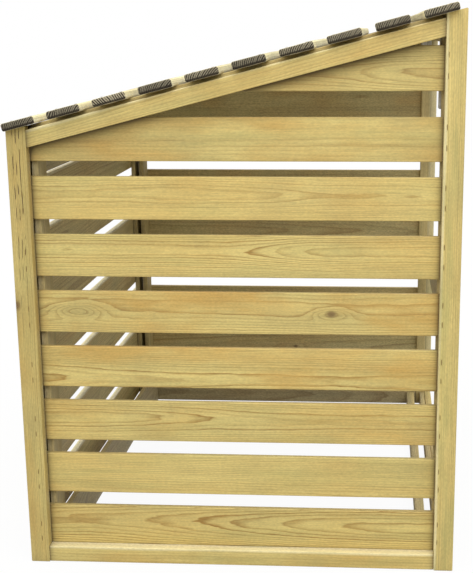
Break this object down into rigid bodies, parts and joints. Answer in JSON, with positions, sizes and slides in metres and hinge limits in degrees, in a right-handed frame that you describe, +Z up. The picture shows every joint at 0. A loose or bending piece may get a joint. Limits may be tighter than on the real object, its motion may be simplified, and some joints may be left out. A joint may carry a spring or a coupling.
{
  "type": "bin shelter",
  "caption": "Slatted timber shelter for wheeled bins: slatted sides and back, open front crossed by rails, and a lean-to roof of spaced boards",
  "frame": {"origin": "on the ground, under the middle of the shelter's outline with the roof overhang included", "axes": "+X toward the tall open front, +Y across the width toward the right-hand side panel, +Z up"},
  "size_m": [0.9944, 1.424, 1.2734],
  "materials": {
    "framing": "planed pressure-treated pine, greenish straw colour",
    "slats": "planed pressure-treated pine boards with fine grain",
    "roof_boards": "sawn pressure-treated pine boards, grey-brown on the cut ends"
  },
  "bodies": {
    "root": {"left_back_post": "framing", "left_front_post": "framing", "right_back_post": "framing", "right_front_post": "framing", "left_bottom_rail": "framing", "right_bottom_rail": "framing", "left_top_rail": "framing", "right_top_rail": "framing", "left_slats": "slats", "left_upper_slat": "slats", "left_top_slat": "slats", "right_slats": "slats", "right_upper_slat": "slats", "right_top_slat": "slats", "back_left_stile": "framing", "back_right_stile": "framing", "back_left_batten": "framing", "back_right_batten": "framing", "back_slats": "slats", "back_top_rail": "framing", "front_left_batten": "framing", "front_right_batten": "framing", "front_left_block": "framing", "front_right_block": "framing", "front_top_rail": "framing", "front_middle_rail": "framing", "front_bottom_rail": "framing", "front_kick_board": "framing", "left_base_rail": "framing", "right_base_rail": "framing", "front_base_rail": "framing", "back_base_rail": "framing", "left_rafter": "framing", "middle_rafter": "framing", "right_rafter": "framing", "roof_board_1": "roof_boards", "roof_board_2": "roof_boards", "roof_board_3": "roof_boards", "roof_board_4": "roof_boards", "roof_board_5": "roof_boards", "roof_board_6": "roof_boards", "roof_board_7": "roof_boards", "roof_board_8": "roof_boards", "roof_board_9": "roof_boards", "roof_board_10": "roof_boards"}
  },
  "joints": []
}
